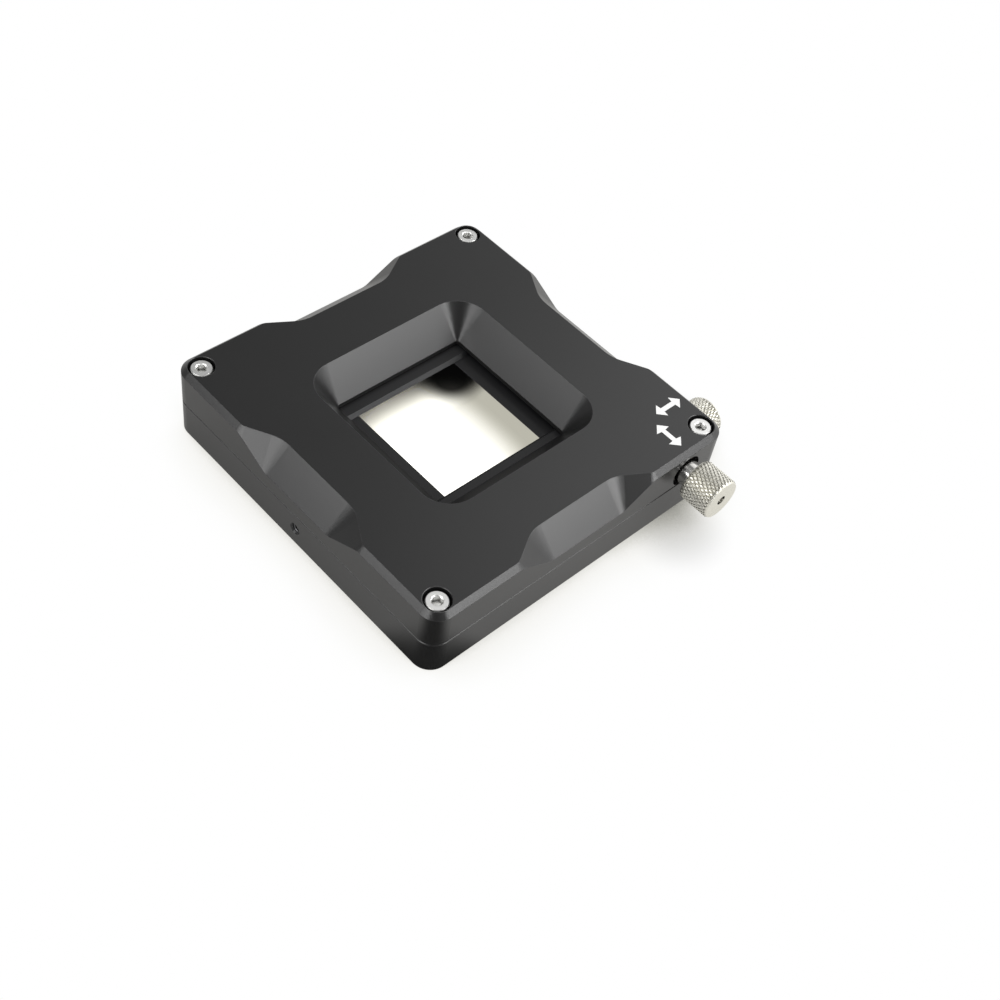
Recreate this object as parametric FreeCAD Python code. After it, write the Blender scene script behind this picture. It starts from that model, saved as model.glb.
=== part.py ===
"""Adjustable mechanical slit: a flat square box with a square window, closed in from four sides by
knife-edge blades.

One pair of blades slides along X in the cover, the other pair along Y in the base. Each pair hangs on one
spindle whose two halves are threaded left-hand and right-hand, so that turning its knob moves both blades
in or out together.

Frame: Z is the beam axis, up out of the cover. The origin lies on that axis, in the bottom face. Lengths
are millimetres.
"""
import FreeCAD
import Part
import math
import os

Vector = FreeCAD.Vector

# Aperture. Each blade of a pair stands this far in from its fully open place when the model is at rest.
MAX_OPENING = 45.0
X_BLADES_IN = 2.7
Y_BLADES_IN = 3.04

# Blades: bevelled plates, thin edges towards the window, the two pairs back to back.
BLADE_THICK = 1.1
BLADE_OVERLAP = 2.9
BLADE_GAP = 0.1
BLADE_END_ROOM = 1.0
BLADE_CORNER = 2.0

# Window through the shells. In the cover a short straight land, then a funnel; in the base a flare.
WINDOW_MARGIN = 2.1
LIP_CORNER_R = 1.0
LIP_WIDTH = 6.4
LIP_CORNER_OUT_R = 3.0
COVER_LIP_GAP = 0.8
COVER_LIP_LAND = 1.4
FUNNEL_SPREAD = 7.9
FUNNEL_RIM_CORNER_R = 10.0
BASE_LIP_GAP = 1.5
BASE_FLARE = 6.2

# Shells.
WALL = 8.0
ROOF = 3.8
OUTER_CORNER_R = 6.0
CAVITY_CORNER_R = 5.0
RIM_CHAMFER = 1.7
PARTING_BREAK = 0.3
PARTING_STEP = 0.7

# Finger scallops, one in the middle of each side of the cover, cut at 45 degrees.
SCALLOP_DEPTH = 7.8
SCALLOP_FLOOR = 33.0
SCALLOP_RAMP_DEG = 30.0
SCALLOP_INNER_R = 12.0
SCALLOP_OUTER_R = 3.0
SCALLOP_TAPER = 9.0

# Cover screws, socket head cap screws of 4 mm. A cone just wider than the hexagon leads into it.
COVER_SCREW_INSET = 6.0
COVER_SCREW_R = 2.0
COVER_SCREW_LENGTH = 16.0
SCREW_HEAD_R = 3.4
SCREW_HEAD_HEIGHT = 4.0
SCREW_HEAD_SUNK = 0.6
SCREW_HEAD_EDGE = 0.3
HEX_ACROSS = 3.0
HEX_DEPTH = 2.2
HEX_MOUTH = 0.12
COUNTERBORE_GAP = 0.7
COUNTERBORE_BREAK = 0.15
TAP_GAP = 0.03
TAP_SPARE = 1.0

# Threaded hole for a post, in the side of the base that faces -Y.
POST_HOLE_R = 1.65
POST_HOLE_DEPTH = 6.5
POST_HOLE_MOUTH_R = 2.15

# Slope of the point that a drill leaves in a blind hole, from square across the hole.
DRILL_POINT_DEG = 30.0

# Spindles and what carries them.
THREAD_R = 2.0
THREAD_ROOM = 2.0
RELIEF_R = 1.7
RELIEF_HALF = 13.0
SHOULDER_R = 3.4
SHOULDER_LENGTH = 1.4
END_JOURNAL_R = 1.5
END_JOURNAL_LENGTH = 4.5
BUSH_R = 3.7
BUSH_FLANGE_R = 4.5
BUSH_FLANGE = 0.6
END_BUSH_R = 2.6
END_BUSH_LENGTH = 4.8
WASHER = 0.4
X_SPINDLE_LIFT = 1.1

# Knobs.
KNOB_R = 6.8
KNOB_TABLE_GAP = 0.1
KNOB_STANDOFF = 3.7
KNURL_LENGTH = 10.7
KNOB_CHAMFER = 0.4
KNOB_NECK_R = 4.2
NECK_CHAMFER = 0.3
KNOB_CENTRE_R = 1.6
KNOB_CENTRE_DEPTH = 2.2
SPINDLE_IN_KNOB = 7.0
RECESS_R = 5.5
RECESS_DEPTH = 2.0
GRUB_R = 1.5
GRUB_SUNK = 0.2

# Carriages: a nut block on the spindle and one rod, a slide block on the other rod.
NUT_R = 3.2
NUT_LENGTH = 9.0
BLOCK_BACK = 2.5
BLOCK_LENGTH = 10.5
BLOCK_SIDE_ROOM = 0.6
BLOCK_TOP_ROOM = 0.4
BLOCK_BOTTOM_ROOM = 0.5
BLOCK_WALL = 0.7
BLOCK_TOP_WALL = 0.8
BLOCK_ROUND = 1.0
ROD_R = 1.5
ROD_RISE = 5.7
ROD_SEAT = 4.0
ROD_END_GAP = 0.2
SLEEVE_R = 2.1
SLEEVE_WALL = 0.9
ROD_TO_NUT_WEB = 2.4
KEEPER_LAND = 0.9
BLADE_SCREW_R = 1.0
BLADE_SCREW_HEAD_R = 1.75
BLADE_SCREW_HEAD = 0.75
BLADE_SCREW_LENGTH = 3.0
BLADE_SCREW_PITCH = 5.0

# Clearances, all on the radius or per side.
RUNNING = 0.04
SNUG = 0.01
END_PLAY = 0.05
SLOT_GAP = 0.05

# Places that follow from the sizes above, outwards from the beam axis.
lip_half = MAX_OPENING / 2 + WINDOW_MARGIN
blade_length = lip_half + BLADE_OVERLAP
cavity_half = MAX_OPENING / 2 + blade_length + BLADE_END_ROOM
body_half = cavity_half + WALL
boss_half = lip_half + LIP_WIDTH
block_inner = boss_half + BLOCK_SIDE_ROOM
rod_v = block_inner + SLEEVE_WALL + SLEEVE_R
spindle_v = rod_v + SLEEVE_R + ROD_TO_NUT_WEB + NUT_R
blade_half = spindle_v - NUT_R - BLOCK_WALL
screw_place = body_half - COVER_SCREW_INSET

# Heights that follow, upwards from the table: the y knob just clears it.
y_spindle_z = KNOB_R + KNOB_TABLE_GAP
y_spindle_rise = NUT_R + BLOCK_WALL + BLOCK_BOTTOM_ROOM
blade_plane_z = y_spindle_z + y_spindle_rise
x_spindle_rise = y_spindle_rise + X_SPINDLE_LIFT
block_over = NUT_R + BLOCK_TOP_WALL
floor_z = y_spindle_z - block_over - BLOCK_TOP_ROOM
ceiling_z = blade_plane_z + x_spindle_rise + block_over + BLOCK_TOP_ROOM
parting_z = blade_plane_z + PARTING_STEP
body_height = ceiling_z + ROOF
blade_top = BLADE_GAP + BLADE_THICK
cover_lip_z = blade_plane_z + blade_top + COVER_LIP_GAP
base_lip_z = blade_plane_z - blade_top - BASE_LIP_GAP
head_seat_z = body_height - SCREW_HEAD_SUNK - SCREW_HEAD_HEIGHT

# Places along a spindle, outwards through the wall at the knob.
recess_u = body_half - RECESS_DEPTH
washer_u = cavity_half - WASHER
shoulder_u = washer_u - END_PLAY
neck_u = recess_u + BUSH_FLANGE + WASHER + END_PLAY
knurl_u = body_half + KNOB_STANDOFF
knob_end_u = knurl_u + KNURL_LENGTH
spindle_end_u = neck_u + SPINDLE_IN_KNOB


def save(name, *solids):
    """Write one node, as one solid or as a group of separate solids."""
    shape = solids[0]
    if len(solids) > 1:
        shape = Part.makeCompound(list(solids))
    shape.exportStep("parts/" + name + ".step")


def arc(centre_x, centre_y, radius, start_deg, end_deg, z):
    """Arc in a level plane, given by its centre and the directions of its ends."""
    points = []
    for degrees in (start_deg, (start_deg + end_deg) / 2, end_deg):
        angle = math.radians(degrees)
        points.append(Vector(centre_x + radius * math.cos(angle), centre_y + radius * math.sin(angle), z))
    return Part.Arc(*points).toShape()


def joined(arcs):
    """Closed wire through the arcs in order, with straight lines between them."""
    edges = []
    for number, edge in enumerate(arcs):
        edges.append(edge)
        here = edge.Vertexes[-1].Point
        there = arcs[(number + 1) % len(arcs)].Vertexes[0].Point
        edges.append(Part.LineSegment(here, there).toShape())
    return Part.Wire(edges)


def rounded_square(half, radius, z):
    """Level outline of a square with rounded corners."""
    corner = half - radius
    first = arc(corner, corner, radius, 0, 90, z)
    return joined([first.rotated(Vector(), Vector(0, 0, 1), 90 * turn) for turn in range(4)])


def square_prism(half, radius, low_z, high_z):
    """Rounded square block between two heights."""
    return Part.Face(rounded_square(half, radius, low_z)).extrude(Vector(0, 0, high_z - low_z))


def square_taper(half, radius, low_z, spread, high_z):
    """Rounded square that grows outwards by spread between two heights, sides and corners alike."""
    low = rounded_square(half, radius, low_z)
    high = rounded_square(half + spread, radius + spread, high_z)
    return Part.makeLoft([low, high], True, True)


def scalloped_outline(depth):
    """Outline of the cover at a depth below its top face, on walls that slope out at 45 degrees.

    Every line and arc moves out by the depth: the arcs keep their centres, hollow ones shrink and round
    ones grow, so the same outline gives the rim's chamfer and the scallops in one taper.
    """
    z = body_height - depth
    top_half = body_half - RIM_CHAMFER
    corner_r = OUTER_CORNER_R - RIM_CHAMFER
    corner = top_half - corner_r
    turn_share = math.tan(math.radians(SCALLOP_RAMP_DEG / 2))
    ramp_run = (SCALLOP_DEPTH - RIM_CHAMFER) / math.tan(math.radians(SCALLOP_RAMP_DEG))
    hollow_x = body_half - SCALLOP_DEPTH + SCALLOP_INNER_R
    hollow_y = SCALLOP_FLOOR / 2 - turn_share * SCALLOP_INNER_R
    round_x = top_half - SCALLOP_OUTER_R
    round_y = SCALLOP_FLOOR / 2 + ramp_run + turn_share * SCALLOP_OUTER_R
    round_r = SCALLOP_OUTER_R + depth
    hollow_r = SCALLOP_INNER_R - depth
    one_side = [
        arc(round_x, -round_y, round_r, 0, SCALLOP_RAMP_DEG, z),
        arc(hollow_x, -hollow_y, hollow_r, 180 + SCALLOP_RAMP_DEG, 180, z),
        arc(hollow_x, hollow_y, hollow_r, 180, 180 - SCALLOP_RAMP_DEG, z),
        arc(round_x, round_y, round_r, -SCALLOP_RAMP_DEG, 0, z),
        arc(corner, corner, corner_r + depth, 0, 90, z),
    ]
    arcs = []
    for turn in range(4):
        arcs += [edge.rotated(Vector(), Vector(0, 0, 1), 90 * turn) for edge in one_side]
    return joined(arcs)


def drill_point(radius):
    """Depth of the point below a drilled hole of this radius."""
    return radius * math.tan(math.radians(DRILL_POINT_DEG))


def hole(x, y, radius, low_z, high_z):
    """Upright cylinder."""
    return Part.makeCylinder(radius, high_z - low_z, Vector(x, y, low_z))


def screw_places():
    """The four corners where screws hold the cover."""
    return [(x, y) for x in (-screw_place, screw_place) for y in (-screw_place, screw_place)]


def along(start_u, end_u, v, w, radius):
    """Cylinder along a drive's travel."""
    return Part.makeCylinder(radius, end_u - start_u, Vector(start_u, v, w), Vector(1, 0, 0))


def turned(profile, v, w):
    """Solid turned about a line along the travel, from (u, radius) points round half its section."""
    points = [Vector(u, v + radius, w) for u, radius in profile]
    face = Part.Face(Part.makePolygon(points + points[:1]))
    return face.revolve(Vector(0, v, w), Vector(1, 0, 0), 360)


class Drive:
    """One pair of blades with its spindle, in the drive's own directions.

    u is the travel, outwards for the blade on the knob's side. v runs across, towards the spindle. w is
    the height away from the plane between the two pairs: upwards for x, downwards for y. The y drive is
    the x drive turned half round about the diagonal between X and Y.
    """

    def __init__(self, name, spindle_w, blades_in):
        self.name = name
        self.spindle_w = spindle_w
        self.edge_u = MAX_OPENING / 2 - blades_in
        self.block_u = self.edge_u + blade_length - BLOCK_BACK - BLOCK_LENGTH
        self.down = -1 if name == "x" else 1
        self.parting_w = -self.down * PARTING_STEP

    def place(self, shape):
        """Move a shape from the drive's own directions to its place in the box."""
        if self.name == "y":
            shape = shape.rotated(Vector(), Vector(1, 1, 0), 180)
        return shape.translated(Vector(0, 0, blade_plane_z))

    def save(self, piece, *solids):
        save(self.name + "_" + piece, *[self.place(solid) for solid in solids])

    def save_pair(self, piece, *solids):
        """Write a carriage's piece and its mirror image on the other blade."""
        self.save(piece + "_pos", *solids)
        self.save(piece + "_neg", *[solid.mirror(Vector(), Vector(1, 0, 0)) for solid in solids])

    def wall_cuts(self):
        """What the drive takes out of the wall at the knob, in either shell, and out of its own shell."""
        v = spindle_v
        w = self.spindle_w
        recess = along(recess_u, knurl_u, v, w, RECESS_R)
        front = along(cavity_half - WALL / 2, knurl_u, v, w, BUSH_R + SNUG)
        rear = along(-cavity_half - END_BUSH_LENGTH - SNUG, -cavity_half + WALL / 2, v, w, END_BUSH_R + SNUG)
        return self.place(recess), self.place(front.fuse(rear))

    def rod_slots(self):
        """Slots in both end walls, open at the parting plane and round at the bottom, for the rods' ends."""
        seat_half = cavity_half + ROD_SEAT
        seat_r = ROD_R + SLOT_GAP
        low_w = self.parting_w - BLADE_THICK
        slots = []
        for v in (-rod_v, rod_v):
            bed = along(-seat_half, seat_half, v, ROD_RISE, seat_r)
            corner = Vector(-seat_half, v - seat_r, low_w)
            slots.append(bed.fuse(Part.makeBox(2 * seat_half, 2 * seat_r, ROD_RISE - low_w, corner)))
        return self.place(slots[0].fuse(slots[1]))

    def make_spindle(self):
        """Spindle: end journal, two threads with a relief between, thrust shoulder, journal to the knob."""
        v = spindle_v
        w = self.spindle_w
        thread_end = shoulder_u - SHOULDER_LENGTH
        tip_u = -cavity_half - END_JOURNAL_LENGTH
        profile = [
            (tip_u, 0),
            (tip_u, END_JOURNAL_R),
            (THREAD_ROOM - cavity_half, END_JOURNAL_R),
            (THREAD_ROOM - cavity_half, THREAD_R),
            (-RELIEF_HALF, THREAD_R),
            (-RELIEF_HALF, RELIEF_R),
            (RELIEF_HALF, RELIEF_R),
            (RELIEF_HALF, THREAD_R),
            (thread_end, THREAD_R),
            (thread_end, SHOULDER_R),
            (shoulder_u, SHOULDER_R),
            (shoulder_u, THREAD_R),
            (spindle_end_u, THREAD_R),
            (spindle_end_u, 0),
        ]
        self.save("spindle", turned(profile, v, w))

    def make_bushes(self):
        """Flanged front bush in the wall at the knob, plain end bush in the far wall, thrust washers."""
        v = spindle_v
        w = self.spindle_w
        bore = THREAD_R + RUNNING
        flange_u = recess_u + BUSH_FLANGE
        front = along(cavity_half, flange_u, v, w, BUSH_R)
        front = front.fuse(along(recess_u, flange_u, v, w, BUSH_FLANGE_R))
        self.save("front_bush", front.cut(along(cavity_half, flange_u, v, w, bore)))
        end = along(-cavity_half - END_BUSH_LENGTH, -cavity_half, v, w, END_BUSH_R)
        end_bore = along(-cavity_half - END_BUSH_LENGTH, -cavity_half, v, w, END_JOURNAL_R + RUNNING)
        self.save("end_bush", end.cut(end_bore))
        washers = []
        for start_u in (washer_u, flange_u):
            ring = along(start_u, start_u + WASHER, v, w, SHOULDER_R)
            washers.append(ring.cut(along(start_u, start_u + WASHER, v, w, bore)))
        self.save("thrust_washers", *washers)

    def make_knob(self):
        """Knob with a smooth neck, bored for the spindle and held by a grub screw on its underside.

        The drilled centre in its end face is the one it was turned on.
        """
        v = spindle_v
        w = self.spindle_w
        bore = THREAD_R + SNUG
        bore_end = spindle_end_u + END_PLAY
        centre_u = knob_end_u - KNOB_CENTRE_DEPTH
        profile = [
            (neck_u, bore),
            (neck_u, KNOB_NECK_R - NECK_CHAMFER),
            (neck_u + NECK_CHAMFER, KNOB_NECK_R),
            (knurl_u, KNOB_NECK_R),
            (knurl_u, KNOB_R - KNOB_CHAMFER),
            (knurl_u + KNOB_CHAMFER, KNOB_R),
            (knob_end_u - KNOB_CHAMFER, KNOB_R),
            (knob_end_u, KNOB_R - KNOB_CHAMFER),
            (knob_end_u, KNOB_CENTRE_R),
            (centre_u, KNOB_CENTRE_R),
            (centre_u - drill_point(KNOB_CENTRE_R), 0),
            (bore_end, 0),
            (bore_end, bore),
        ]
        grub_u = (body_half + knurl_u) / 2
        axis = Vector(0, 0, self.down)
        start = Vector(grub_u, v, w)
        tapped = Part.makeCylinder(GRUB_R + TAP_GAP, KNOB_R, start, axis)
        self.save("knob", turned(profile, v, w).cut(tapped))
        tip = start + axis * (THREAD_R + END_PLAY)
        grub = Part.makeCylinder(GRUB_R, KNOB_NECK_R - GRUB_SUNK - THREAD_R - END_PLAY, tip, axis)
        self.save("knob_grub", grub)

    def make_rods(self):
        """Two guide rods across the box, with a keeper over each end that fills its slot."""
        rod_half = cavity_half + ROD_SEAT - ROD_END_GAP
        self.save("rod_pos", along(-rod_half, rod_half, rod_v, ROD_RISE, ROD_R))
        self.save("rod_neg", along(-rod_half, rod_half, -rod_v, ROD_RISE, ROD_R))
        height = ROD_RISE - KEEPER_LAND - self.parting_w
        keepers = []
        for v in (-rod_v, rod_v):
            for start_u in (cavity_half + SLOT_GAP, -cavity_half - ROD_SEAT + SLOT_GAP):
                corner = Vector(start_u, v - ROD_R, self.parting_w)
                keeper = Part.makeBox(ROD_SEAT - 2 * SLOT_GAP, 2 * ROD_R, height, corner)
                keepers.append(keeper.cut(along(-body_half, body_half, v, ROD_RISE, ROD_R + SLOT_GAP)))
        self.save("rod_keepers", *keepers)

    def blade_screw_places(self):
        """Two screws through the blade into each block."""
        middle_u = self.block_u + BLOCK_LENGTH / 2
        us = (middle_u - BLADE_SCREW_PITCH / 2, middle_u + BLADE_SCREW_PITCH / 2)
        return [Vector(u, v, BLADE_GAP) for u in us for v in (-rod_v, rod_v)]

    def blade_screw(self, place, gap):
        """Countersunk screw, or with a gap the hole for it."""
        up = Vector(0, 0, 1)
        head = Part.makeCone(BLADE_SCREW_HEAD_R + gap, BLADE_SCREW_R + gap, BLADE_SCREW_HEAD, place, up)
        return head.fuse(Part.makeCylinder(BLADE_SCREW_R + gap, BLADE_SCREW_LENGTH + gap, place, up))

    def make_blade(self):
        """Blade: a plate with a 45 degree bevel to a knife edge on the side of the other pair."""
        edge_u = self.edge_u
        end_u = edge_u + blade_length
        section = [
            Vector(edge_u, -blade_half, BLADE_GAP),
            Vector(end_u, -blade_half, BLADE_GAP),
            Vector(end_u, -blade_half, blade_top),
            Vector(edge_u + BLADE_THICK, -blade_half, blade_top),
        ]
        face = Part.Face(Part.makePolygon(section + section[:1]))
        blade = face.extrude(Vector(0, 2 * blade_half, 0))
        outer = [edge for edge in blade.Edges
                 if abs(edge.BoundBox.XMin - end_u) < SNUG and edge.BoundBox.ZLength > BLADE_THICK / 2]
        blade = blade.makeChamfer(BLADE_CORNER, outer)
        screws = []
        for place in self.blade_screw_places():
            blade = blade.cut(self.blade_screw(place, TAP_GAP))
            screws.append(self.blade_screw(place, 0))
        self.save_pair("blade", blade)
        self.save_pair("blade_screws", *screws)

    def bored_block(self, section, bores):
        """Block with the given section, rounded along its top, bored for the nut or sleeves."""
        points = [Vector(self.block_u, v, w) for v, w in section]
        block = Part.Face(Part.makePolygon(points + points[:1])).extrude(Vector(BLOCK_LENGTH, 0, 0))
        top = max(w for v, w in section)
        edges = [edge for edge in block.Edges
                 if edge.BoundBox.XLength > BLOCK_LENGTH / 2 and edge.BoundBox.ZMin > top - SNUG]
        block = block.makeFillet(BLOCK_ROUND, edges)
        for v, w, radius in bores:
            block = block.cut(along(self.block_u, self.block_u + BLOCK_LENGTH, v, w, radius))
        for place in self.blade_screw_places():
            block = block.cut(self.blade_screw(place, TAP_GAP))
        return block

    def make_carriage(self):
        """Nut block, slide block, nut and rod sleeves of one blade."""
        top = self.spindle_w + block_over
        outer = spindle_v + block_over
        step = blade_half + SLOT_GAP
        nut_section = [
            (block_inner, blade_top),
            (step, blade_top),
            (step, BLOCK_BOTTOM_ROOM),
            (outer, BLOCK_BOTTOM_ROOM),
            (outer, top),
            (block_inner, top),
        ]
        sleeve_bore = (rod_v, ROD_RISE, SLEEVE_R + SNUG)
        nut_bore = (spindle_v, self.spindle_w, NUT_R + SNUG)
        self.save_pair("nut_block", self.bored_block(nut_section, [sleeve_bore, nut_bore]))
        slide_top = ROD_RISE + SLEEVE_R + BLOCK_WALL
        slide_section = [
            (-blade_half, blade_top),
            (-block_inner, blade_top),
            (-block_inner, slide_top),
            (-blade_half, slide_top),
        ]
        slide_bore = (-rod_v, ROD_RISE, SLEEVE_R + SNUG)
        self.save_pair("slide_block", self.bored_block(slide_section, [slide_bore]))
        nut_u = self.block_u + (BLOCK_LENGTH - NUT_LENGTH) / 2
        nut = along(nut_u, nut_u + NUT_LENGTH, spindle_v, self.spindle_w, NUT_R)
        nut_hole = along(nut_u, nut_u + NUT_LENGTH, spindle_v, self.spindle_w, THREAD_R + RUNNING)
        self.save_pair("nut", nut.cut(nut_hole))
        sleeves = []
        for v in (-rod_v, rod_v):
            sleeve = along(self.block_u, self.block_u + BLOCK_LENGTH, v, ROD_RISE, SLEEVE_R)
            inner = along(self.block_u, self.block_u + BLOCK_LENGTH, v, ROD_RISE, ROD_R + RUNNING)
            sleeves.append(sleeve.cut(inner))
        self.save_pair("rod_sleeves", *sleeves)

    def make(self):
        self.make_spindle()
        self.make_bushes()
        self.make_knob()
        self.make_rods()
        self.make_blade()
        self.make_carriage()


def make_base(drives):
    """Lower shell: pocket round a boss that carries the flared window."""
    straight_top = parting_z - PARTING_BREAK
    base = square_prism(body_half, OUTER_CORNER_R, 0, straight_top)
    inset = square_taper(body_half, OUTER_CORNER_R, straight_top, -PARTING_BREAK, parting_z)
    base = base.fuse(inset)
    pocket = square_prism(cavity_half, CAVITY_CORNER_R, floor_z, parting_z)
    base = base.cut(pocket.cut(square_prism(boss_half, LIP_CORNER_OUT_R, floor_z, base_lip_z)))
    flare = square_taper(lip_half + BASE_FLARE, LIP_CORNER_R + BASE_FLARE, 0, -BASE_FLARE, base_lip_z)
    base = base.cut(flare)
    screw_tip = head_seat_z - COVER_SCREW_LENGTH
    for x, y in screw_places():
        base = base.cut(hole(x, y, COVER_SCREW_R + TAP_GAP, screw_tip - TAP_SPARE, parting_z))
    base = base.cut(post_hole())
    for drive in drives:
        recess, bearings = drive.wall_cuts()
        base = base.cut(recess)
        if drive.name == "y":
            base = base.cut(bearings).cut(drive.rod_slots())
    save("base", base.removeSplitter())


def post_hole():
    """Threaded hole with a countersunk mouth and a drilled point, halfway up the base's side."""
    inward = Vector(0, 1, 0)
    mouth = Vector(0, -body_half, parting_z / 2)
    sink = POST_HOLE_MOUTH_R - POST_HOLE_R
    bore = Part.makeCylinder(POST_HOLE_R, POST_HOLE_DEPTH, mouth, inward)
    countersink = Part.makeCone(POST_HOLE_MOUTH_R, POST_HOLE_R, sink, mouth, inward)
    bottom = mouth + inward * POST_HOLE_DEPTH
    point = Part.makeCone(POST_HOLE_R, 0, drill_point(POST_HOLE_R), bottom, inward)
    return bore.fuse(countersink).fuse(point)


def funnel():
    """Window of the cover: a straight land over the blades, then slopes whose corners widen upwards."""
    land_z = cover_lip_z + COVER_LIP_LAND
    land = square_prism(lip_half, LIP_CORNER_R, cover_lip_z, land_z)
    low = rounded_square(lip_half, LIP_CORNER_R, land_z)
    high = rounded_square(lip_half + FUNNEL_SPREAD, FUNNEL_RIM_CORNER_R, body_height)
    return land.fuse(Part.makeLoft([low, high], True, True))


def make_cover(drives):
    """Upper shell: scalloped 45 degree rim outside, the funnel inside, a pocket round the funnel."""
    straight_low = parting_z + PARTING_BREAK
    cover = square_prism(body_half, OUTER_CORNER_R, straight_low, body_height)
    taper = Part.makeLoft([scalloped_outline(SCALLOP_TAPER), scalloped_outline(0)], True, True)
    cover = cover.common(taper)
    inset = body_half - PARTING_BREAK
    corner_r = OUTER_CORNER_R - PARTING_BREAK
    cover = cover.fuse(square_taper(inset, corner_r, parting_z, PARTING_BREAK, straight_low))
    cover = cover.fuse(square_prism(body_half, OUTER_CORNER_R, straight_low, body_height - SCALLOP_TAPER))
    pocket = square_prism(cavity_half, CAVITY_CORNER_R, parting_z, ceiling_z)
    cover = cover.cut(pocket.cut(square_prism(boss_half, LIP_CORNER_OUT_R, cover_lip_z, ceiling_z)))
    cover = cover.cut(funnel())
    bore_r = SCREW_HEAD_R + COUNTERBORE_GAP
    break_z = body_height - COUNTERBORE_BREAK
    for x, y in screw_places():
        cover = cover.cut(hole(x, y, COVER_SCREW_R + COUNTERBORE_BREAK, parting_z, body_height))
        cover = cover.cut(hole(x, y, bore_r, head_seat_z, body_height))
        rim = Part.makeCone(bore_r, bore_r + COUNTERBORE_BREAK, COUNTERBORE_BREAK, Vector(x, y, break_z))
        cover = cover.cut(rim)
    for drive in drives:
        recess, bearings = drive.wall_cuts()
        cover = cover.cut(recess)
        if drive.name == "x":
            cover = cover.cut(bearings).cut(drive.rod_slots())
    save("cover", cover.removeSplitter())


def make_cover_screws():
    """Four socket head cap screws, heads sunk in the cover, shanks down into the base."""
    screws = []
    head_top = head_seat_z + SCREW_HEAD_HEIGHT
    hex_r = HEX_ACROSS / math.sqrt(3)
    mouth_r = hex_r + HEX_MOUTH
    mouth_depth = mouth_r - HEX_ACROSS / 2
    for x, y in screw_places():
        head = hole(x, y, SCREW_HEAD_R, head_seat_z, head_top)
        rim = [edge for edge in head.Edges if edge.BoundBox.ZMin > head_top - SNUG]
        head = head.makeChamfer(SCREW_HEAD_EDGE, rim)
        corners = []
        for number in range(6):
            angle = math.radians(60 * number)
            corners.append(Vector(x + hex_r * math.cos(angle), y + hex_r * math.sin(angle), head_top))
        socket = Part.Face(Part.makePolygon(corners + corners[:1])).extrude(Vector(0, 0, -HEX_DEPTH))
        mouth = Part.makeCone(HEX_ACROSS / 2, mouth_r, mouth_depth, Vector(x, y, head_top - mouth_depth))
        shank = hole(x, y, COVER_SCREW_R, head_seat_z - COVER_SCREW_LENGTH, head_seat_z)
        screws.append(head.cut(socket).cut(mouth).fuse(shank))
    save("cover_screws", *screws)


os.makedirs("parts", exist_ok=True)
both_drives = [
    Drive("x", x_spindle_rise, X_BLADES_IN),
    Drive("y", y_spindle_rise, Y_BLADES_IN),
]
make_base(both_drives)
make_cover(both_drives)
make_cover_screws()
for each_drive in both_drives:
    each_drive.make()
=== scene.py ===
import math

import bmesh
import bpy
from mathutils import Matrix, Quaternion, Vector


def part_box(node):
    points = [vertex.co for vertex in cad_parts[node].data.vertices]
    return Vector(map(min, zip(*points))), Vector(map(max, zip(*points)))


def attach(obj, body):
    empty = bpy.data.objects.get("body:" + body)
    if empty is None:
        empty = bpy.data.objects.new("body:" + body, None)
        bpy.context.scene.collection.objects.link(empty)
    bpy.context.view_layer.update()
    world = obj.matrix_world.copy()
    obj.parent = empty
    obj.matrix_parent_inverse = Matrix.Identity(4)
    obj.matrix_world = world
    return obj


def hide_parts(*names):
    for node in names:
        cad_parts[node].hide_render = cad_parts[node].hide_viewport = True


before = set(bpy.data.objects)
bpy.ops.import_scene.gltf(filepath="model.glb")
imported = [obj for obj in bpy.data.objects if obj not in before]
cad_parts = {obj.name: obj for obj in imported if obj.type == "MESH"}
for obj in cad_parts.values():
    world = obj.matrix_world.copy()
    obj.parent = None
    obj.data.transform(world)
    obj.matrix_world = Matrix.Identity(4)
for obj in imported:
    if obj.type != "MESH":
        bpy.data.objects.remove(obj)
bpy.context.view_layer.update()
MM = 0.001

# Shells. The base and the cover are milled aluminium plates, bead blasted and then anodised black.
# The blasting leaves a fine even grain that spreads every reflection. The edges are painted paler along
# the grit, partly as wear of the thin oxide there and partly as a painted highlight on the edge breaks.
# The cover is screwed down on the base at its corners.

# The dye takes unevenly, in clouds of this size, and is a quarter paler where it took least.
DYE_CLOUD = 22 * MM
THIN_DYE = 1.25
GRAIN_STRENGTH = 0.04
ROUGHNESS_SPREAD = 0.015


def linear(hex_colour):
    """The linear colour of an sRGB hex value."""
    parts = [int(hex_colour[place:place + 2], 16) / 255 for place in (1, 3, 5)]
    return [part / 12.92 if part <= 0.04045 else ((part + 0.055) / 1.055) ** 2.4 for part in parts] + [1]


def add_node(tree, kind, inputs, **settings):
    """A node with its settings; each input is given a value or the socket that feeds it.

    A Mix node's input 0 is the share, 2 and 3 are its two numbers, and 6 and 7 its two colours.
    """
    node = tree.nodes.new(kind)
    for name, value in settings.items():
        setattr(node, name, value)
    for socket, value in inputs.items():
        if isinstance(value, bpy.types.NodeSocket):
            tree.links.new(value, node.inputs[socket])
        else:
            node.inputs[socket].default_value = value
    return node


def new_material(name):
    """An empty node material and its tree."""
    material = bpy.data.materials.new(name)
    material.use_nodes = True
    material.node_tree.nodes.clear()
    return material, material.node_tree


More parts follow.
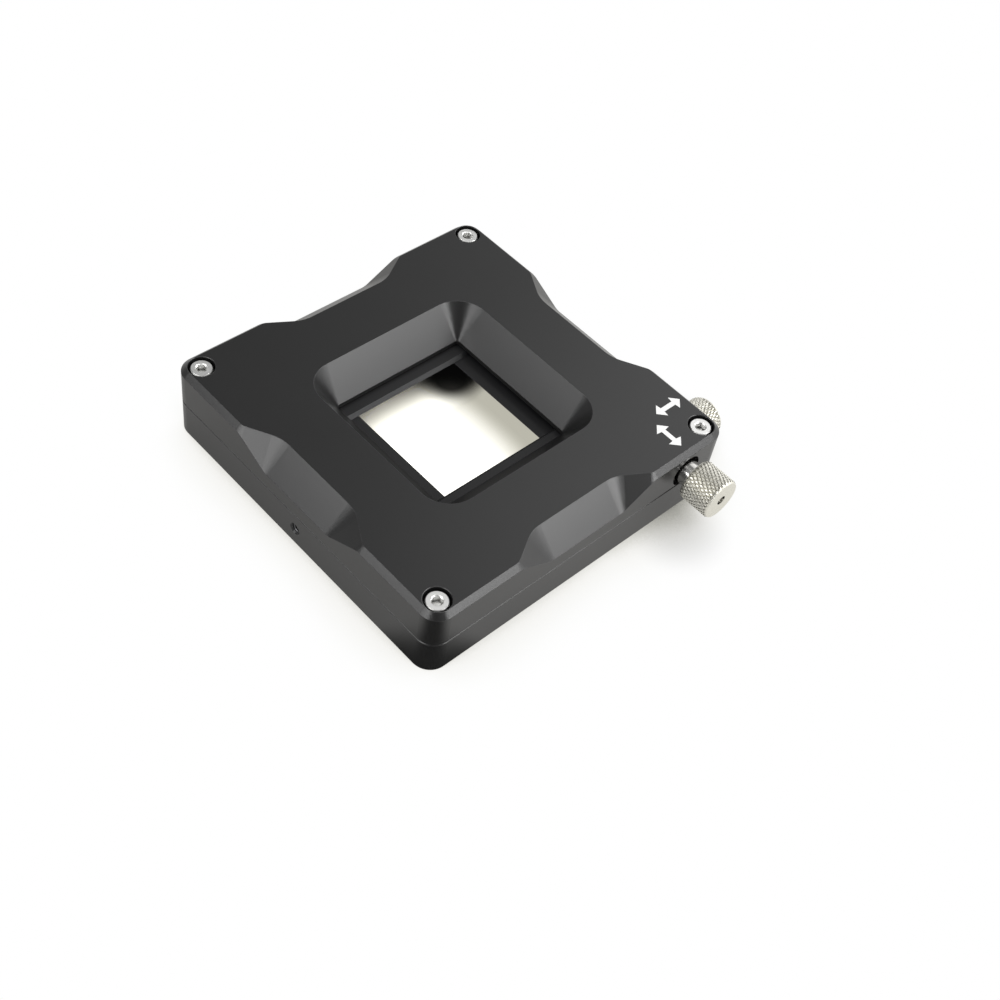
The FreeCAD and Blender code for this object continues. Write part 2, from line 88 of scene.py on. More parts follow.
def blasted_anodising(name, body_hex, worn_and_highlight_edge_hex, roughness, ior, grit_mm, edge_mm):
    """Dyed oxide on blasted aluminium: grit_mm is the dimples' size, edge_mm the width of an edge break."""
    material, tree = new_material(name)
    place = add_node(tree, "ShaderNodeTexCoord", {}).outputs["Object"]
    grit = add_node(tree, "ShaderNodeTexNoise", {
        "Vector": place, "Scale": 1 / (grit_mm * MM), "Detail": 2.0, "Roughness": 0.6,
    }).outputs["Fac"]
    cloud = add_node(tree, "ShaderNodeTexNoise", {
        "Vector": place, "Scale": 1 / DYE_CLOUD, "Detail": 3.0, "Roughness": 0.5,
    }).outputs["Fac"]
    rounded = add_node(tree, "ShaderNodeBevel", {"Radius": edge_mm * MM}, samples=6).outputs["Normal"]
    true_normal = add_node(tree, "ShaderNodeNewGeometry", {}).outputs["True Normal"]
    facing = add_node(tree, "ShaderNodeVectorMath", {0: rounded, 1: true_normal}, operation="DOT_PRODUCT")
    edge = add_node(tree, "ShaderNodeMapRange", {
        "Value": facing.outputs["Value"], "From Min": 0.995, "From Max": 0.9, "To Min": 0.0, "To Max": 1.0,
    }).outputs["Result"]
    # Edge mask: a paler colour, partly wear and partly a painted highlight on the edge breaks.
    wear_and_highlight = add_node(tree, "ShaderNodeMath", {0: edge, 1: grit}, operation="MULTIPLY").outputs[0]
    shade = add_node(tree, "ShaderNodeMix", {
        0: cloud, 6: linear(body_hex), 7: [THIN_DYE * part for part in linear(body_hex)[:3]] + [1],
    }, data_type="RGBA").outputs[2]
    colour = add_node(tree, "ShaderNodeMix", {
        0: wear_and_highlight, 6: shade, 7: linear(worn_and_highlight_edge_hex),
    }, data_type="RGBA").outputs[2]
    rough = add_node(tree, "ShaderNodeMapRange", {
        "Value": grit, "From Min": 0.3, "From Max": 0.7,
        "To Min": roughness - ROUGHNESS_SPREAD, "To Max": roughness + ROUGHNESS_SPREAD,
    }).outputs["Result"]
    dimples = add_node(tree, "ShaderNodeBump", {
        "Height": grit, "Strength": GRAIN_STRENGTH, "Distance": 0.3 * grit_mm * MM, "Normal": rounded,
    }).outputs["Normal"]
    shader = add_node(tree, "ShaderNodeBsdfPrincipled", {
        "Base Color": colour, "Roughness": rough, "IOR": ior, "Normal": dimples,
    })
    add_node(tree, "ShaderNodeOutputMaterial", {"Surface": shader.outputs["BSDF"]})
    return material


def finish_nodes(material, *names):
    """Gives CAD nodes this material."""
    for name in names:
        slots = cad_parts[name].data.materials
        slots.clear()
        slots.append(material)


# The grit of real blasting is about 0.1 mm, too fine for a picture; 0.35 mm shows as the same even grain.
shell_finish = blasted_anodising("anodised_blasted_shell", "#191919", "#6e6e70", 0.3, 1.6, 0.35, 0.16)
finish_nodes(shell_finish, "base", "cover")

# Direction marks. Two double arrows are screen printed in matt white ink on the cover, one beside each
# knob's end of the corner, along the way that the knob's pair of blades moves. The ink is a few hundredths
# of a millimetre thick.
COVER_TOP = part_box("cover")[1][2]
INK_HEIGHT = 0.03 * MM
ARROW_STROKE = 1.6 * MM
BARB_REACH = 2.6 * MM
HEAD_LENGTH = 2.85 * MM

ink, ink_tree = new_material("screen_ink_white")
ink_place = add_node(ink_tree, "ShaderNodeTexCoord", {}).outputs["Object"]
ink_speckle = add_node(ink_tree, "ShaderNodeTexNoise", {"Vector": ink_place, "Scale": 1 / (0.5 * MM)})
ink_colour = add_node(ink_tree, "ShaderNodeMix", {
    0: ink_speckle.outputs["Fac"], 6: linear("#f8f8f7"), 7: linear("#ececeb"),
}, data_type="RGBA").outputs[2]
ink_shader = add_node(ink_tree, "ShaderNodeBsdfPrincipled", {"Base Color": ink_colour, "Roughness": 0.6})
add_node(ink_tree, "ShaderNodeOutputMaterial", {"Surface": ink_shader.outputs["BSDF"]})


def double_arrow(name, centre, length, turn_deg):
    """A flat double arrow: a shaft between two heads with 45 degree flanks and slightly hollow backs."""
    tip = length / 2
    shaft = ARROW_STROKE / 2
    corners = [
        (0, 0),
        (tip, 0),
        (tip - BARB_REACH, BARB_REACH),
        (tip - HEAD_LENGTH, shaft),
        (0, shaft),
    ]
    mesh = bpy.data.meshes.new(name)
    shape = bmesh.new()
    shape.faces.new([shape.verts.new((x, y, 0)) for x, y in corners])
    for axis in ("X", "Y"):
        quarter = shape.faces[:] + shape.edges[:] + shape.verts[:]
        bmesh.ops.mirror(shape, geom=quarter, axis=axis, merge_dist=1e-6)
    bmesh.ops.remove_doubles(shape, verts=shape.verts, dist=1e-6)
    sheet = bmesh.ops.extrude_face_region(shape, geom=shape.faces[:])
    raised = [item for item in sheet["geom"] if isinstance(item, bmesh.types.BMVert)]
    bmesh.ops.translate(shape, verts=raised, vec=(0, 0, INK_HEIGHT))
    bmesh.ops.recalc_face_normals(shape, faces=shape.faces)
    bmesh.ops.rotate(shape, verts=shape.verts, matrix=Matrix.Rotation(math.radians(turn_deg), 3, "Z"))
    bmesh.ops.translate(shape, verts=shape.verts, vec=(centre[0], centre[1], COVER_TOP))
    shape.to_mesh(mesh)
    shape.free()
    arrow = bpy.data.objects.new(name, mesh)
    bpy.context.collection.objects.link(arrow)
    mesh.materials.append(ink)
    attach(arrow, "housing")


double_arrow("arrow_for_y_knob", (41.65 * MM, 50.3 * MM), 10.6 * MM, 90)
double_arrow("arrow_for_x_knob", (49.98 * MM, 41.75 * MM), 10.2 * MM, 0)

# Cover screws. Four stainless socket head cap screws of 4 mm stand in counterbores at the corners. Their
# heads are cold formed and tumbled, so they are bright with soft scratches. Inside the socket the colour
# is darkened with painted shade.


def bright_metal(name, hex_colour, roughness, scratch_mm, grain, painted_shade_mm=0.0):
    """Bare or plated metal: scratches of scratch_mm, drawn out by grain along each object axis.

    Where the last argument is given, painted shade darkens the colour in hollows up to about that many
    millimetres across.
    """
    material, tree = new_material(name)
    place = add_node(tree, "ShaderNodeTexCoord", {}).outputs["Object"]
    drawn = add_node(tree, "ShaderNodeMapping", {"Vector": place, "Scale": grain}).outputs["Vector"]
    scratches = add_node(tree, "ShaderNodeTexNoise", {
        "Vector": drawn, "Scale": 1 / (scratch_mm * MM), "Detail": 3.0, "Roughness": 0.6,
    }).outputs["Fac"]
    rough = add_node(tree, "ShaderNodeMapRange", {
        "Value": scratches, "From Min": 0.3, "From Max": 0.7, "To Min": 0.75 * roughness,
        "To Max": 1.25 * roughness,
    }).outputs["Result"]
    bump = add_node(tree, "ShaderNodeBump", {
        "Height": scratches, "Strength": 0.08, "Distance": 0.05 * MM,
    }).outputs["Normal"]
    colour = linear(hex_colour)
    # Painted shade: ambient occlusion darkens the colour towards #4b4a46 in hollows and sockets.
    if painted_shade_mm:
        hollow = add_node(tree, "ShaderNodeAmbientOcclusion", {"Distance": painted_shade_mm * MM}, samples=8)
        unshaded = add_node(tree, "ShaderNodeMapRange", {
            "Value": hollow.outputs["AO"], "From Min": 0.3, "From Max": 0.85, "To Min": 0.0, "To Max": 1.0,
        }).outputs["Result"]
        colour = add_node(tree, "ShaderNodeMix", {
            0: unshaded, 6: linear("#4b4a46"), 7: linear(hex_colour),
        }, data_type="RGBA").outputs[2]
    shader = add_node(tree, "ShaderNodeBsdfPrincipled", {
        "Base Color": colour, "Metallic": 1.0, "Roughness": rough, "Normal": bump,
    })
    add_node(tree, "ShaderNodeOutputMaterial", {"Surface": shader.outputs["BSDF"]})
    return material


screw_finish = bright_metal("stainless_tumbled", "#f6f6f4", 0.42, 0.3, (1, 1, 1), 1.3)
finish_nodes(screw_finish, "cover_screws")

# Post hole thread. The M4 hole in the base's side was tapped after anodising, so the crests of its thread
# are bare aluminium and glint in the dark bore. It is one ridge wound down the bore, its foot sunk a hair
# into the wall.
HOLE_MOUTH_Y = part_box("base")[0][1]
HOLE_Z = 6.0 * MM
HOLE_WALL_R = 1.67 * MM
CREST_R = 1.4 * MM
CREST_WIDTH = 0.1 * MM
FLANK_WIDTH = 0.27 * MM
HOLE_PITCH = 0.7 * MM
FIRST_TURN = 0.55 * MM
TURNS = 7
STEPS_PER_TURN = 28

thread_shape = bmesh.new()
ridge = [
    (HOLE_WALL_R, 0),
    (CREST_R, FLANK_WIDTH),
    (CREST_R, FLANK_WIDTH + CREST_WIDTH),
    (HOLE_WALL_R, 2 * FLANK_WIDTH + CREST_WIDTH),
]
start_y = HOLE_MOUTH_Y + FIRST_TURN
section = [thread_shape.verts.new((radius, start_y + depth, 0)) for radius, depth in ridge]
outline = [thread_shape.edges.new((section[place - 1], section[place])) for place in range(4)]
bmesh.ops.spin(thread_shape, geom=section + outline, cent=(0, 0, 0), axis=(0, 1, 0),
               dvec=(0, HOLE_PITCH / STEPS_PER_TURN, 0), angle=2 * math.pi * TURNS,
               steps=TURNS * STEPS_PER_TURN)
bmesh.ops.holes_fill(thread_shape, edges=thread_shape.edges, sides=4)
bmesh.ops.recalc_face_normals(thread_shape, faces=thread_shape.faces)
bmesh.ops.translate(thread_shape, verts=thread_shape.verts, vec=(0, 0, HOLE_Z))
thread_mesh = bpy.data.meshes.new("post_hole_thread")
thread_shape.to_mesh(thread_mesh)
thread_shape.free()
thread_mesh.shade_smooth()
thread_mesh.set_sharp_from_angle(angle=math.radians(30))
post_hole_thread = bpy.data.objects.new("post_hole_thread", thread_mesh)
bpy.context.collection.objects.link(post_hole_thread)
# Its colour is darkened with painted shade between the turns of the ridge.
thread_mesh.materials.append(bright_metal("aluminium_tapped", "#6a6a6c", 0.45, 0.3, (1, 1, 1), 1.0))
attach(post_hole_thread, "housing")

# Knobs. Each is turned from brass bar, diamond knurled, faced off and nickel plated: a polished neck, a
# band of small diamonds between bare chamfers, and a fine-turned end face with the lathe's drilled centre.
# They are the CAD's knobs with the diamonds cut in, and turn with their spindles.
KNURL_AROUND = 32
KNURL_ALONG = 5
KNURL_DEPTH = 0.3 * MM
TIP_INSET = 0.42 * MM
KNOB_CREST_R = 6.8 * MM
KNOB_CHAMFER = 0.4 * MM
NECK_R = 4.2 * MM
NECK_CHAMFER = 0.3 * MM
NECK_LENGTH = 4.65 * MM
NECK_BORE_R = 2.05 * MM
CENTRE_R = 1.6 * MM
CENTRE_DEPTH = 2.2 * MM
CENTRE_POINT = 0.9 * MM
HAIR = 0.01 * MM

# Both finishes have painted shade: their colour is darkened in hollows and where the knob comes near the
# housing.
knob_finish = bright_metal("nickel_plate_turned", "#e9e7dd", 0.42, 0.4, (1, 1, 1), 1.5)
neck_finish = bright_metal("nickel_plate_polished", "#d8d7d3", 0.16, 0.3, (1, 1, 1), 0.8)


def drawn_out(shape, loop, start_r, start_u, steps):
    """Carries an open end of a turned piece through rings, each given by its place and its radius."""
    radius = start_r
    here = start_u
    for next_u, next_r in steps:
        grown = bmesh.ops.extrude_edge_only(shape, edges=loop)["geom"]
        moved = [item for item in grown if isinstance(item, bmesh.types.BMVert)]
        share = next_r / radius
        bmesh.ops.scale(shape, verts=moved, vec=(1, share, share))
        bmesh.ops.translate(shape, verts=moved, vec=(next_u - here, 0, 0))
        loop = [item for item in grown if isinstance(item, bmesh.types.BMEdge) and item.is_boundary]
        radius = next_r
        here = next_u
    return loop


def knurled_knob(name, along, body, node):
    """A knob on its node's own box: a lattice of diamonds rolled into a tube, then its two ends."""
    low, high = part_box(node)
    start = low[along]
    end = high[along]
    knurl_low = start + NECK_LENGTH + KNOB_CHAMFER
    knurl_high = end - KNOB_CHAMFER
    root_r = KNOB_CREST_R - KNURL_DEPTH
    rim_r = KNOB_CREST_R - KNOB_CHAMFER
    shape = bmesh.new()
    bmesh.ops.create_grid(shape, x_segments=KNURL_ALONG, y_segments=KNURL_AROUND, size=0.5)
    bmesh.ops.poke(shape, faces=shape.faces)
    for vert in shape.verts:
        angle = 2 * math.pi * (vert.co.y + 0.5)
        u = knurl_low + (vert.co.x + 0.5) * (knurl_high - knurl_low)
        vert.co = (u, root_r * math.cos(angle), root_r * math.sin(angle))
    bmesh.ops.remove_doubles(shape, verts=shape.verts, dist=1e-6)
    straight = []
    for edge in shape.edges:
        one, other = [vert.co for vert in edge.verts]
        level = abs(math.atan2(one.z, one.y) - math.atan2(other.z, other.y)) < 1e-4
        if not edge.is_boundary and (level or abs(one.x - other.x) < 1e-7):
            straight.append(edge)
    bmesh.ops.dissolve_edges(shape, edges=straight)
    rims = [edge for edge in shape.edges if edge.is_boundary]
    made = bmesh.ops.subdivide_edges(shape, edges=rims, cuts=2)["geom_inner"]
    for vert in [item for item in made if isinstance(item, bmesh.types.BMVert)]:
        share = root_r / math.hypot(vert.co.y, vert.co.z)
        vert.co.y *= share
        vert.co.z *= share
    diamonds = shape.faces[:]
    rims = [edge for edge in shape.edges if edge.is_boundary]
    middle = (knurl_low + knurl_high) / 2
    front = [edge for edge in rims if edge.verts[0].co.x > middle]
    rear = [edge for edge in rims if edge.verts[0].co.x < middle]
    bottom = drawn_out(shape, front, root_r, knurl_high, [
        (end, rim_r), (end, CENTRE_R), (end - CENTRE_DEPTH, CENTRE_R),
        (end - CENTRE_DEPTH - CENTRE_POINT, 2 * HAIR),
    ])
    bmesh.ops.contextual_create(shape, geom=bottom)
    shoulder = start + NECK_LENGTH
    drawn_out(shape, rear, root_r, knurl_low, [
        (shoulder, rim_r), (shoulder, NECK_R), (start + NECK_CHAMFER, NECK_R),
        (start, NECK_R - NECK_CHAMFER), (start, NECK_BORE_R),
    ])
    for face in shape.faces:
        reach = max(math.hypot(vert.co.y, vert.co.z) for vert in face.verts)
        on_neck = reach < NECK_R + HAIR and face.calc_center_median().x < shoulder
        if on_neck or reach < CENTRE_R + HAIR:
            face.material_index = 1
    bmesh.ops.recalc_face_normals(shape, faces=shape.faces)
    bmesh.ops.inset_individual(shape, faces=diamonds, thickness=TIP_INSET, depth=KNURL_DEPTH)
    if along == 1:
        bmesh.ops.rotate(shape, verts=shape.verts, matrix=Matrix.Rotation(math.radians(90), 3, "Z"))
    offset = [(one + other) / 2 for one, other in zip(low, high)]
    offset[along] = 0
    bmesh.ops.translate(shape, verts=shape.verts, vec=offset)
    mesh = bpy.data.meshes.new(name)
    shape.to_mesh(mesh)
    shape.free()
    mesh.shade_smooth()
    mesh.set_sharp_from_angle(angle=math.radians(24))
    knob = bpy.data.objects.new(name, mesh)
    bpy.context.collection.objects.link(knob)
    mesh.materials.append(knob_finish)
    mesh.materials.append(neck_finish)
    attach(knob, body)
    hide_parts(node)


knurled_knob("knurled_knob_x", 0, "x_spindle_set", "x_knob")
knurled_knob("knurled_knob_y", 1, "y_spindle_set", "y_knob")

# Blades. Four plates with a 45 degree bevel to a knife edge, milled, blasted finer than the shells and
# anodised black, so that they glare less and look smoother.
# Their edges are painted paler too, partly as wear and partly as a painted highlight.
blade_finish = blasted_anodising("anodised_fine_blade", "#1b1b1c", "#77777a", 0.5, 1.45, 0.25, 0.06)
finish_nodes(blade_finish, "x_blade_neg", "x_blade_pos", "y_blade_neg", "y_blade_pos")

# Carriage blocks and rod keepers. Small aluminium blocks inside the shells. The carriages' blocks are
# anodised black with a coarser grain than the blades', and the keepers are bare, with the milling cutter's
# fine lines along them.
# The blocks' edges are painted paler too, partly as wear and partly as a painted highlight.
block_finish = blasted_anodising("anodised_milled_block", "#1c1c1d", "#808084", 0.4, 1.6, 0.5, 0.1)
sides = ("neg", "pos")
for drive in ("x", "y"):
    for side in sides:
        finish_nodes(block_finish, f"{drive}_nut_block_{side}", f"{drive}_slide_block_{side}")
keeper_finish = bright_metal("aluminium_milled", "#b9babc", 0.4, 0.6, (0.2, 1, 1))
finish_nodes(keeper_finish, "x_rod_keepers", "y_rod_keepers")

# Spindles and rods. Ground steel: the rods are plain, the spindles have a fine rolled thread of 1 mm pitch
# that runs one way on one half and the other way on the other.
SPINDLE_PITCH = MM


def rolled_thread(name, along):
    """Steel with the thread drawn as fine rings along the spindle, one pitch apart."""
    material, tree = new_material(name)
    place = add_node(tree, "ShaderNodeTexCoord", {}).outputs["Object"]
    # At a scale of 1 the wave node's bands repeat every 2 pi / 20 metres.
    rings = add_node(tree, "ShaderNodeTexWave", {
        "Vector": place, "Scale": 2 * math.pi / 20 / SPINDLE_PITCH, "Distortion": 0.0,
    }, bands_direction=along, wave_profile="TRI").outputs["Fac"]
    bump = add_node(tree, "ShaderNodeBump", {
        "Height": rings, "Strength": 1.0, "Distance": 0.3 * MM,
    }).outputs["Normal"]
    shader = add_node(tree, "ShaderNodeBsdfPrincipled", {
        "Base Color": linear("#b8b7b4"), "Metallic": 1.0, "Roughness": 0.3, "Normal": bump,
    })
    add_node(tree, "ShaderNodeOutputMaterial", {"Surface": shader.outputs["BSDF"]})
    return material


finish_nodes(rolled_thread("steel_thread_x", "X"), "x_spindle")
finish_nodes(rolled_thread("steel_thread_y", "Y"), "y_spindle")
rod_finish = bright_metal("steel_ground", "#c4c4c4", 0.2, 0.5, (1, 1, 1))
finish_nodes(rod_finish, "x_rod_neg", "x_rod_pos", "y_rod_neg", "y_rod_pos")
finish_nodes(screw_finish, *[f"{drive}_blade_screws_{side}" for drive in "xy" for side in sides])

# Nuts, bushes, washers and set screws. The nuts are turned brass, the bushes and rod sleeves sintered
# bronze, dull and dark with oil, the thrust washers are punched from a white slippery plastic sheet, and
# the knobs' set screws are blackened steel.
brass_finish = bright_metal("brass_turned", "#c8a15a", 0.3, 0.4, (1, 1, 1))
finish_nodes(brass_finish, *[f"{drive}_nut_{side}" for drive in "xy" for side in sides])
# The bronze also has painted shade: its colour is darker in hollows.
bronze_finish = bright_metal("bronze_sintered", "#7a5c3e", 0.55, 0.2, (1, 1, 1), 2.5)
finish_nodes(bronze_finish, "x_front_bush", "y_front_bush", "x_end_bush", "y_end_bush")
finish_nodes(bronze_finish, *[f"{drive}_rod_sleeves_{side}" for drive in "xy" for side in sides])
washer_finish, washer_tree = new_material("ptfe_washer")
washer_place = add_node(washer_tree, "ShaderNodeTexCoord", {}).outputs["Object"]
washer_haze = add_node(washer_tree, "ShaderNodeTexNoise", {"Vector": washer_place, "Scale": 1 / (1 * MM)})
washer_colour = add_node(washer_tree, "ShaderNodeMix", {
    0: washer_haze.outputs["Fac"], 6: linear("#e6e6e0"), 7: linear("#d9d9d2"),
}, data_type="RGBA").outputs[2]
washer_shader = add_node(washer_tree, "ShaderNodeBsdfPrincipled", {
    "Base Color": washer_colour, "Roughness": 0.5,
})
add_node(washer_tree, "ShaderNodeOutputMaterial", {"Surface": washer_shader.outputs["BSDF"]})
finish_nodes(washer_finish, "x_thrust_washers", "y_thrust_washers")
grub_finish = bright_metal("steel_black_oxide", "#2c2c2e", 0.35, 0.3, (1, 1, 1))
finish_nodes(grub_finish, "x_knob_grub", "y_knob_grub")

# Table. The object lies on a white sheet that sweeps away out of sight. To the eye the sheet is white but
# for painted shadows: a narrow warm one where the object and its knobs shelter it, and a wide one with a
# painted dark corner inside the window. In the metal's reflections it is a little dimmer, with painted
# light
# and shade: brighter to the right, and darkest around the object, inside the window and under the dark
# screen.
SHEET_REACH = 6.0
SHELTER_REACH = 30 * MM
NEAR_SCREEN = (0.7071, -0.7071, 0.0)
RIGHT = (0.7071, 0.7071, 0.0)

floor_mesh = bpy.data.meshes.new("sheet")
floor_shape = bmesh.new()
bmesh.ops.create_circle(floor_shape, cap_ends=True, segments=3, radius=SHEET_REACH)
floor_shape.to_mesh(floor_mesh)
floor_shape.free()
floor = bpy.data.objects.new("sheet", floor_mesh)
bpy.context.collection.objects.link(floor)
paper, paper_tree = new_material("paper_white")
rays = add_node(paper_tree, "ShaderNodeLightPath", {})
spot = add_node(paper_tree, "ShaderNodeTexCoord", {}).outputs["Object"]
reach = add_node(paper_tree, "ShaderNodeVectorMath", {0: spot}, operation="LENGTH").outputs["Value"]
openness = add_node(paper_tree, "ShaderNodeAmbientOcclusion", {
    "Distance": SHELTER_REACH,
}, samples=16).outputs["AO"]


def product(one, other):
    """Two shares of light taken together."""
    return add_node(paper_tree, "ShaderNodeMath", {0: one, 1: other}, operation="MULTIPLY").outputs[0]


def share(value, low, high, at_low, at_high, kind="LINEAR"):
    """A share of light that goes from at_low to at_high as the value goes from low to high."""
    return add_node(paper_tree, "ShaderNodeMapRange", {
        "Value": value, "From Min": low, "From Max": high, "To Min": at_low, "To Max": at_high,
    }, interpolation_type=kind).outputs["Result"]


def towards(direction):
    """1 in this direction from the object, and -1 opposite to it."""
    outwards = add_node(paper_tree, "ShaderNodeVectorMath", {0: spot}, operation="NORMALIZE")
    return add_node(paper_tree, "ShaderNodeVectorMath", {
        0: outwards.outputs["Vector"], 1: direction,
    }, operation="DOT_PRODUCT").outputs["Value"]


def painted_shade_around(x_mm, y_mm, near_mm, far_mm, darkest):
    """The light left by a painted shadow around a point of the sheet: darkest within near_mm, all of it
    beyond far_mm.
    """
    away = add_node(paper_tree, "ShaderNodeVectorMath", {
        0: spot, 1: (x_mm * MM, y_mm * MM, 0.0),
    }, operation="DISTANCE").outputs["Value"]
    return share(away, near_mm * MM, far_mm * MM, darkest, 1.0, "SMOOTHSTEP")


def painted_shade_by_openness(*stops):
    """A colour of painted shade: it depends on how open the sheet is to the room there, by ambient
    occlusion.
    """
    ramp = add_node(paper_tree, "ShaderNodeValToRGB", {"Fac": openness})
    ramp.color_ramp.elements.remove(ramp.color_ramp.elements[0])
    for place, hex_colour in stops[:-1]:
        ramp.color_ramp.elements.new(place).color = linear(hex_colour)
    ramp.color_ramp.elements[-1].position = stops[-1][0]
    ramp.color_ramp.elements[-1].color = linear(stops[-1][1])
    return ramp.outputs["Color"]


# As the metal mirrors it, with painted light and shade: brighter to the right, darker by ambient
# occlusion close to the object, and darker inside the window and towards the near corner's screen.
painted_level_to_right = share(towards(RIGHT), -1.0, 1.0, 0.56, 0.8)
painted_screen_shade = share(towards(NEAR_SCREEN), 0.972, 0.999, 1.0, 0.1, "SMOOTHSTEP")
outside_share = share(reach, 30 * MM, 42 * MM, 0.1, 1.0)
painted_close_shade = share(openness, 0.4, 0.95, 0.72, 1.12)
mirrored = product(product(product(painted_level_to_right, painted_screen_shade), outside_share), painted_close_shade)
mirror = add_node(paper_tree, "ShaderNodeEmission", {
    "Color": linear("#fffefb"), "Strength": mirrored,
}).outputs["Emission"]

# As the eye sees it. Inside the window the light that falls through it is added three times over, on a
# colour of painted shade. Elsewhere the sheet glows white, with painted contact shadows where it is
# sheltered.
deep = add_node(paper_tree, "ShaderNodeMix", {
    0: outside_share, 6: painted_shade_by_openness((0.12, "#22211f"), (0.22, "#c6c3b7"), (0.3, "#b8b6ac")),
    7: linear("#000000"),
}, data_type="RGBA").outputs[2]
lit = add_node(paper_tree, "ShaderNodeBsdfDiffuse", {"Color": deep}).outputs["BSDF"]
lit_twice = add_node(paper_tree, "ShaderNodeAddShader", {0: lit, 1: lit}).outputs[0]
overexposed = add_node(paper_tree, "ShaderNodeAddShader", {0: lit_twice, 1: lit}).outputs[0]
open_colour = painted_shade_by_openness(
    (0.2, "#000000"), (0.29, "#6a6964"), (0.36, "#b0afa6"), (0.48, "#dddcd6"), (0.55, "#f5f4f1"),
    (0.68, "#fafaf8"), (0.8, "#ffffff"),
)
# Painted shadows under the two knobs.
painted_knob_shadow = add_node(paper_tree, "ShaderNodeMath", {
    0: painted_shade_around(66, 36, 3, 19, 0.78), 1: painted_shade_around(36, 66, 3, 19, 0.78),
}, operation="MINIMUM").outputs[0]
glare = add_node(paper_tree, "ShaderNodeEmission", {
    "Color": open_colour, "Strength": painted_knob_shadow,
}).outputs["Emission"]
open_sheet = add_node(paper_tree, "ShaderNodeAddShader", {0: overexposed, 1: glare}).outputs[0]
# A painted shadow inside the window along its far side: the sheet there is mixed towards a flat shadow
# colour.
along = add_node(paper_tree, "ShaderNodeSeparateXYZ", {0: spot})
far_side = share(along.outputs["Y"], 5 * MM, 24 * MM, 0.0, 1.0)
right_part = share(along.outputs["X"], -18 * MM, -12 * MM, 0.0, 1.0)
inside_share = share(reach, 36 * MM, 42 * MM, 1.0, 0.0)
painted_window_shadow_share = product(product(far_side, right_part), inside_share)
shade = add_node(paper_tree, "ShaderNodeEmission", {"Color": linear("#bab8ab")}).outputs["Emission"]
half_shaded = add_node(paper_tree, "ShaderNodeMixShader", {0: painted_window_shadow_share, 1: open_sheet, 2: shade}).outputs[0]
# Painted shadow: a near-black patch on the sheet in the window's far corner.
dark = add_node(paper_tree, "ShaderNodeEmission", {"Color": linear("#070707")}).outputs["Emission"]
shown = add_node(paper_tree, "ShaderNodeMixShader", {
    0: painted_shade_around(-23, 22, 4.5, 13, 0.03), 1: dark, 2: half_shaded,
}).outputs[0]

# As everything else sees it, a plain pale sheet.
plain = add_node(paper_tree, "ShaderNodeBsdfDiffuse", {"Color": linear("#e8e8e8")}).outputs["BSDF"]
unseen = add_node(paper_tree, "ShaderNodeMixShader", {
    0: rays.outputs["Is Glossy Ray"], 1: plain, 2: mirror,
}).outputs[0]
paper_mix = add_node(paper_tree, "ShaderNodeMixShader", {
    0: rays.outputs["Is Camera Ray"], 1: unseen, 2: shown,
}).outputs[0]
add_node(paper_tree, "ShaderNodeOutputMaterial", {"Surface": paper_mix})
floor_mesh.materials.append(paper)

# Studio light. A long low soft box on the right rakes the +X slopes, a weaker one on the left front rakes
# the -Y slopes, and two more at the back and overhead bring the top to a plain level. The room is palest
# towards the back and along the horizon, and a dark screen hangs above the near corner.
TO_PALE_WALL = (0.25, 0.96, 0.1)
TO_SCREEN = (0.517, -0.482, 0.707)


def soft_box(name, azimuth_deg, elevation_deg, distance, width, height, radiance):
    """A rectangular lamp of an even radiance, facing the object from a direction."""
    azimuth = math.radians(azimuth_deg)
    elevation = math.radians(elevation_deg)
    outwards = Vector((
        math.cos(elevation) * math.cos(azimuth),
        math.cos(elevation) * math.sin(azimuth),
        math.sin(elevation),
    ))
    lamp = bpy.data.lights.new(name, "AREA")
    lamp.shape = "RECTANGLE"
    lamp.size = width
    lamp.size_y = height
    lamp.energy = radiance * math.pi * width * height
    holder = bpy.data.objects.new(name, lamp)
    bpy.context.collection.objects.link(holder)
    holder.location = outwards * distance
    holder.rotation_mode = "QUATERNION"
    holder.rotation_quaternion = outwards.to_track_quat("Z", "Y")


soft_box("soft_box_right", 35, 31, 0.8, 0.66, 0.22, 7.2)
soft_box("soft_box_front_left", 258, 36, 0.8, 0.74, 0.25, 4.5)
soft_box("soft_box_back", 86, 50, 0.8, 0.78, 0.52, 0.5)
soft_box("soft_box_top", 317, 76, 0.8, 0.5, 0.5, 1.9)

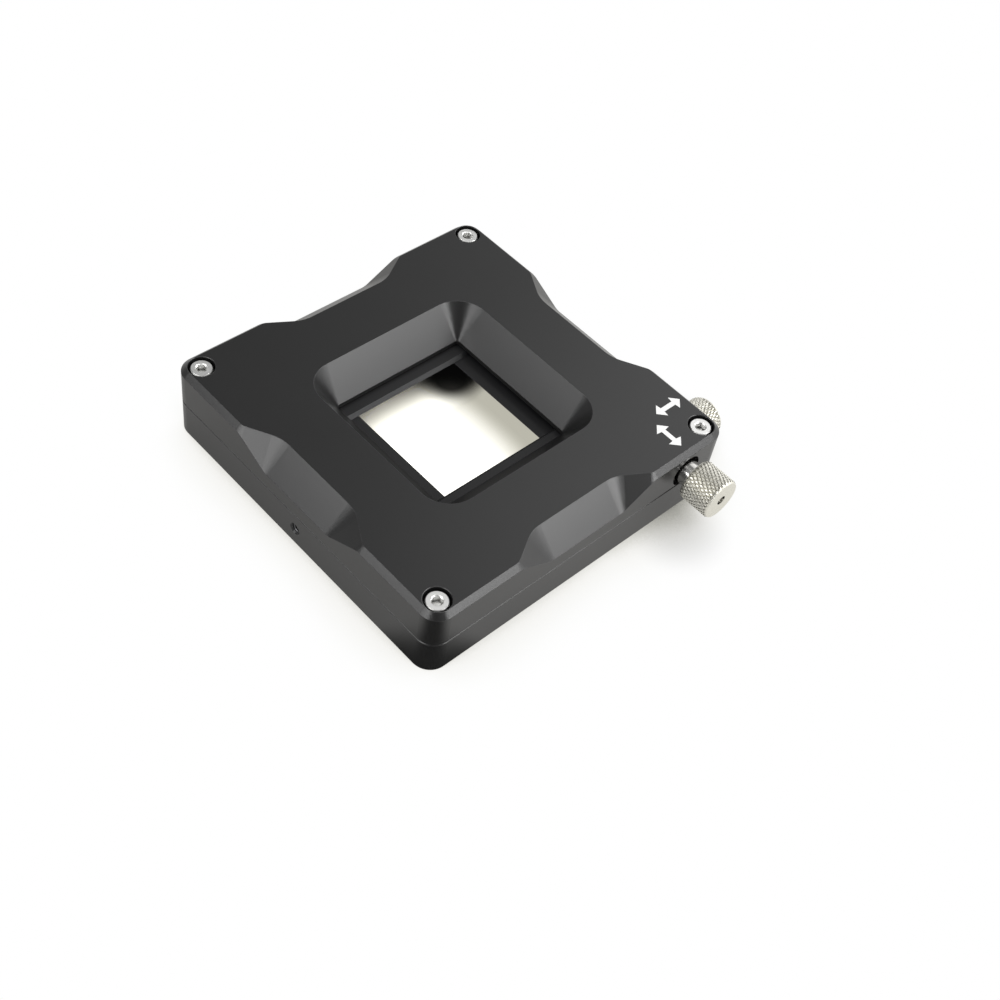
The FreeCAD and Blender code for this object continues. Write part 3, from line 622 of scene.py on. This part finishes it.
world = bpy.data.worlds.new("studio")
bpy.context.scene.world = world
world.use_nodes = True
world.node_tree.nodes.clear()
sky = world.node_tree
sky_rays = add_node(sky, "ShaderNodeLightPath", {})
direction = add_node(sky, "ShaderNodeTexCoord", {}).outputs["Generated"]
lean = add_node(sky, "ShaderNodeVectorMath", {
    0: direction, 1: TO_PALE_WALL,
}, operation="DOT_PRODUCT").outputs["Value"]
ceiling = add_node(sky, "ShaderNodeMapRange", {
    "Value": lean, "From Min": 0.35, "From Max": 1.0, "To Min": 0.26, "To Max": 1.3,
}).outputs["Result"]
height = add_node(sky, "ShaderNodeSeparateXYZ", {0: direction}).outputs["Z"]
horizon = add_node(sky, "ShaderNodeMapRange", {
    "Value": height, "From Min": 0.35, "From Max": 0.08, "To Min": 0.0, "To Max": 0.45,
}).outputs["Result"]
walls = add_node(sky, "ShaderNodeMath", {0: ceiling, 1: horizon}, operation="MAXIMUM").outputs[0]
to_screen = add_node(sky, "ShaderNodeVectorMath", {
    0: direction, 1: TO_SCREEN,
}, operation="DOT_PRODUCT").outputs["Value"]
beside_screen = add_node(sky, "ShaderNodeMapRange", {
    "Value": to_screen, "From Min": 0.94, "From Max": 0.985, "To Min": 1.0, "To Max": 0.1,
}).outputs["Result"]
room = add_node(sky, "ShaderNodeMath", {0: walls, 1: beside_screen}, operation="MULTIPLY").outputs[0]
strength = add_node(sky, "ShaderNodeMix", {0: sky_rays.outputs["Is Camera Ray"], 2: room, 3: 1.0})
backdrop = add_node(sky, "ShaderNodeBackground", {
    "Color": linear("#ffffff"), "Strength": strength.outputs[0],
})
add_node(sky, "ShaderNodeOutputWorld", {"Surface": backdrop.outputs["Background"]})

# Camera. It stands off the corner between the post hole and the x knob, about 50 degrees above the table,
# and is aimed at the right of the window and rolled, so that the picture needs no shift.
CAMERA_PLACE = Vector((202.418, -222.116, 334.607)) * MM
CAMERA_AZIMUTH = math.radians(-51.355)
CAMERA_ELEVATION = math.radians(49.603)
CAMERA_ROLL = math.radians(11.245)
FOCAL_SHARE = 1.4429
camera_data = bpy.data.cameras.new("camera")
camera_data.sensor_width = 36.0
camera_data.lens = FOCAL_SHARE * camera_data.sensor_width
camera = bpy.data.objects.new("camera", camera_data)
bpy.context.collection.objects.link(camera)
back = Vector((
    math.cos(CAMERA_ELEVATION) * math.cos(CAMERA_AZIMUTH),
    math.cos(CAMERA_ELEVATION) * math.sin(CAMERA_AZIMUTH),
    math.sin(CAMERA_ELEVATION),
))
camera.location = CAMERA_PLACE
camera.rotation_mode = "QUATERNION"
camera.rotation_quaternion = Quaternion(back, CAMERA_ROLL) @ back.to_track_quat("Z", "Y")
bpy.context.scene.camera = camera
bpy.context.scene.view_settings.view_transform = "Standard"
